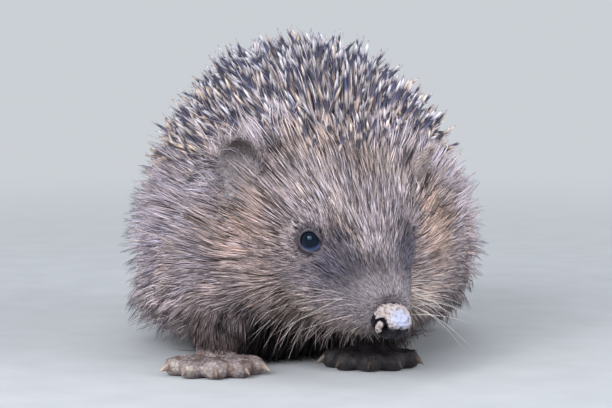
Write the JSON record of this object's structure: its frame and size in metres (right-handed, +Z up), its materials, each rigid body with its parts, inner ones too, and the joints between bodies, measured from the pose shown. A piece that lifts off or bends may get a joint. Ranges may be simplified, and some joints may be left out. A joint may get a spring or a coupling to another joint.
{
  "type": "hedgehog",
  "caption": "Standing hedgehog, life size: domed quilled back, furred face and skirt, rounded ears, pointed snout held low and turned to its left, clawed feet.",
  "frame": {"origin": "on the floor, at the middle of the animal's box seen from above", "axes": "+Z up, the animal faces -Y, its left side is +X"},
  "size_m": [0.1044, 0.1828, 0.096],
  "materials": {
    "fur": "coarse matt fur",
    "quill": "stiff banded quills, satin",
    "dark_fur": "short dense fur",
    "skin": "bare granular skin",
    "ear": "thin skin with short grey fur",
    "nose": "moist granular skin",
    "eye": "wet and glossy",
    "claw": "satin horn"
  },
  "bodies": {
    "root": {"back": "quill", "claw_fore_left_1": "claw", "claw_fore_left_2": "claw", "claw_fore_left_3": "claw", "claw_fore_left_4": "claw", "claw_fore_left_5": "claw", "claw_fore_right_1": "claw", "claw_fore_right_2": "claw", "claw_fore_right_3": "claw", "claw_fore_right_4": "claw", "claw_fore_right_5": "claw", "claw_hind_left_1": "claw", "claw_hind_left_2": "claw", "claw_hind_left_3": "claw", "claw_hind_left_4": "claw", "claw_hind_left_5": "claw", "claw_hind_right_1": "claw", "claw_hind_right_2": "claw", "claw_hind_right_3": "claw", "claw_hind_right_4": "claw", "claw_hind_right_5": "claw", "ear_left": "ear", "ear_right": "ear", "eye_left": "eye", "eye_right": "eye", "foot_fore_left": "skin", "foot_fore_right": "skin", "foot_hind_left": "skin", "foot_hind_right": "skin", "head": "fur", "jaw_lower": "fur", "leg_fore_left": "dark_fur", "leg_fore_right": "dark_fur", "leg_hind_left": "dark_fur", "leg_hind_right": "dark_fur", "neck": "fur", "nose": "nose", "rump": "quill", "shoulders": "quill", "tail": "dark_fur"}
  },
  "joints": []
}
